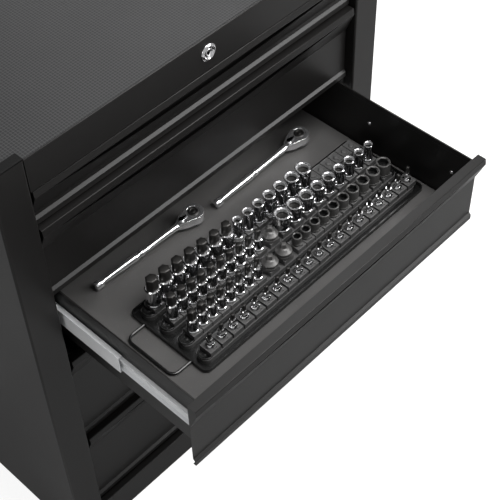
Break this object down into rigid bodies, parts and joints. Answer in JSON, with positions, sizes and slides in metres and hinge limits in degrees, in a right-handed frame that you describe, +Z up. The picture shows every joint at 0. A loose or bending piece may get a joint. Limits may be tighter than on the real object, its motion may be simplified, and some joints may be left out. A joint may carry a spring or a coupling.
{
  "type": "tool chest with socket tray",
  "caption": "Black steel tool chest with ball-bearing drawers, one drawn out with a grey liner, a railed socket tray and two ratchets.",
  "frame": {"origin": "centre of the cabinet's footprint, on the underside of its floor sheet", "axes": "+X to the right as seen from the front, +Y to the back, +Z up"},
  "size_m": [0.752, 0.7555, 0.92],
  "materials": {
    "black_paint": "semi-gloss powder coat",
    "cap_plastic": "matte moulded plastic",
    "grey_mat": "ribbed matte foam rubber",
    "grey_liner": "smooth matte liner",
    "zinc_steel": "bright zinc",
    "lock_chrome": "polished chrome",
    "tray_plastic": "matte moulded plastic",
    "rail_plastic": "satin moulded plastic",
    "tool_chrome": "polished chrome",
    "impact_black": "black oxide steel"
  },
  "bodies": {
    "cabinet": {"left_side_panel": "black_paint", "right_side_panel": "black_paint", "left_post_cap": "cap_plastic", "right_post_cap": "cap_plastic", "top_pan": "black_paint", "top_mat": "grey_mat", "lock_strip": "black_paint", "back_panel": "black_paint", "base_pan": "black_paint", "left_rear_upright": "black_paint", "right_rear_upright": "black_paint", "lock_ring": "lock_chrome", "drawer_1_cabinet_slides": "zinc_steel", "drawer_2_cabinet_slides": "zinc_steel", "drawer_3_cabinet_slides": "zinc_steel", "drawer_4_cabinet_slides": "zinc_steel", "drawer_5_cabinet_slides": "zinc_steel"},
    "lock": {"lock_cylinder": "lock_chrome", "lock_shaft": "zinc_steel"},
    "lock_bar": {"lock_bar": "zinc_steel"},
    "drawer_1": {"drawer_1_box": "black_paint", "drawer_1_front": "black_paint", "drawer_1_liner": "grey_liner", "drawer_1_slides": "zinc_steel"},
    "drawer_1_middle_slides": {"drawer_1_middle_slides": "zinc_steel"},
    "drawer_2": {"drawer_2_box": "black_paint", "drawer_2_front": "black_paint", "drawer_2_liner": "grey_liner", "drawer_2_slides": "zinc_steel"},
    "drawer_2_middle_slides": {"drawer_2_middle_slides": "zinc_steel"},
    "drawer_3": {"drawer_3_box": "black_paint", "drawer_3_front": "black_paint", "drawer_3_liner": "grey_liner", "drawer_3_slides": "zinc_steel"},
    "drawer_3_middle_slides": {"drawer_3_middle_slides": "zinc_steel"},
    "drawer_4": {"drawer_4_box": "black_paint", "drawer_4_front": "black_paint", "drawer_4_liner": "grey_liner", "drawer_4_slides": "zinc_steel"},
    "drawer_4_middle_slides": {"drawer_4_middle_slides": "zinc_steel"},
    "drawer_5": {"drawer_5_box": "black_paint", "drawer_5_front": "black_paint", "drawer_5_liner": "grey_liner", "drawer_5_slides": "zinc_steel"},
    "drawer_5_middle_slides": {"drawer_5_middle_slides": "zinc_steel"},
    "socket_tray": {"socket_tray": "tray_plastic", "socket_rails": "rail_plastic", "socket_clips": "rail_plastic", "bit_sockets": "tool_chrome", "chrome_sockets": "tool_chrome", "impact_sockets": "impact_black", "drive_adapters": "impact_black", "small_sockets": "tool_chrome"},
    "left_ratchet": {"left_ratchet_body": "tool_chrome"},
    "left_ratchet_drive": {"left_ratchet_drive": "impact_black"},
    "left_ratchet_lever": {"left_ratchet_lever": "impact_black"},
    "right_ratchet": {"right_ratchet_body": "tool_chrome"},
    "right_ratchet_drive": {"right_ratchet_drive": "impact_black"},
    "right_ratchet_lever": {"right_ratchet_lever": "impact_black"}
  },
  "joints": [
    {"name": "lock_turn", "type": "hinge", "parent": "cabinet", "child": "lock", "pos_m": [0, -0.24, 0.889], "axis": [0, 1, 0], "range_deg": [0, 90]},
    {"name": "lock_bar_drop", "type": "slide", "parent": "cabinet", "child": "lock_bar", "axis": [0, 0, -1], "range_m": [0, 0.01]},
    {"name": "drawer_1_slide", "type": "slide", "parent": "cabinet", "child": "drawer_1", "axis": [0, -1, 0], "range_m": [0, 0.4]},
    {"name": "drawer_1_middle_slide", "type": "slide", "parent": "cabinet", "child": "drawer_1_middle_slides", "axis": [0, -1, 0], "range_m": [0, 0.2]},
    {"name": "drawer_2_slide", "type": "slide", "parent": "cabinet", "child": "drawer_2", "axis": [0, -1, 0], "range_m": [0, 0.4]},
    {"name": "drawer_2_middle_slide", "type": "slide", "parent": "cabinet", "child": "drawer_2_middle_slides", "axis": [0, -1, 0], "range_m": [0, 0.2]},
    {"name": "drawer_3_slide", "type": "slide", "parent": "cabinet", "child": "drawer_3", "axis": [0, -1, 0], "range_m": [-0.276, 0.124]},
    {"name": "drawer_3_middle_slide", "type": "slide", "parent": "cabinet", "child": "drawer_3_middle_slides", "axis": [0, -1, 0], "range_m": [-0.138, 0.062]},
    {"name": "drawer_4_slide", "type": "slide", "parent": "cabinet", "child": "drawer_4", "axis": [0, -1, 0], "range_m": [0, 0.4]},
    {"name": "drawer_4_middle_slide", "type": "slide", "parent": "cabinet", "child": "drawer_4_middle_slides", "axis": [0, -1, 0], "range_m": [0, 0.2]},
    {"name": "drawer_5_slide", "type": "slide", "parent": "cabinet", "child": "drawer_5", "axis": [0, -1, 0], "range_m": [0, 0.4]},
    {"name": "drawer_5_middle_slide", "type": "slide", "parent": "cabinet", "child": "drawer_5_middle_slides", "axis": [0, -1, 0], "range_m": [0, 0.2]},
    {"name": "tray_lift", "type": "slide", "parent": "drawer_3", "child": "socket_tray", "axis": [0, 0, 1], "range_m": [0, 0.06]},
    {"name": "left_ratchet_lift", "type": "slide", "parent": "drawer_3", "child": "left_ratchet", "axis": [0, 0, 1], "range_m": [0, 0.09]},
    {"name": "left_ratchet_drive_spin", "type": "hinge", "parent": "left_ratchet", "child": "left_ratchet_drive", "pos_m": [-0.01452, -0.19666, 0.54099], "axis": [-0.0489, 0.0026, 0.9988], "continuous": true},
    {"name": "left_ratchet_lever_flip", "type": "hinge", "parent": "left_ratchet", "child": "left_ratchet_lever", "pos_m": [-0.03946, -0.19536, 0.53976], "axis": [-0.0489, 0.0026, 0.9988], "range_deg": [-15, 15]},
    {"name": "right_ratchet_lift", "type": "slide", "parent": "drawer_3", "child": "right_ratchet", "axis": [0, 0, 1], "range_m": [0, 0.09]},
    {"name": "right_ratchet_drive_spin", "type": "hinge", "parent": "right_ratchet", "child": "right_ratchet_drive", "pos_m": [0.23326, -0.201, 0.54099], "axis": [-0.049, 0, 0.9988], "continuous": true},
    {"name": "right_ratchet_lever_flip", "type": "hinge", "parent": "right_ratchet", "child": "right_ratchet_lever", "pos_m": [0.20829, -0.201, 0.53976], "axis": [-0.049, 0, 0.9988], "range_deg": [-15, 15]}
  ],
  "couplings": [
    {"joint": "lock_turn", "follows": "lock_bar_drop", "rad_per_m": 157},
    {"joint": "drawer_1_middle_slide", "follows": "drawer_1_slide", "ratio": 0.5},
    {"joint": "drawer_2_middle_slide", "follows": "drawer_2_slide", "ratio": 0.5},
    {"joint": "drawer_3_middle_slide", "follows": "drawer_3_slide", "ratio": 0.5},
    {"joint": "drawer_4_middle_slide", "follows": "drawer_4_slide", "ratio": 0.5},
    {"joint": "drawer_5_middle_slide", "follows": "drawer_5_slide", "ratio": 0.5}
  ]
}
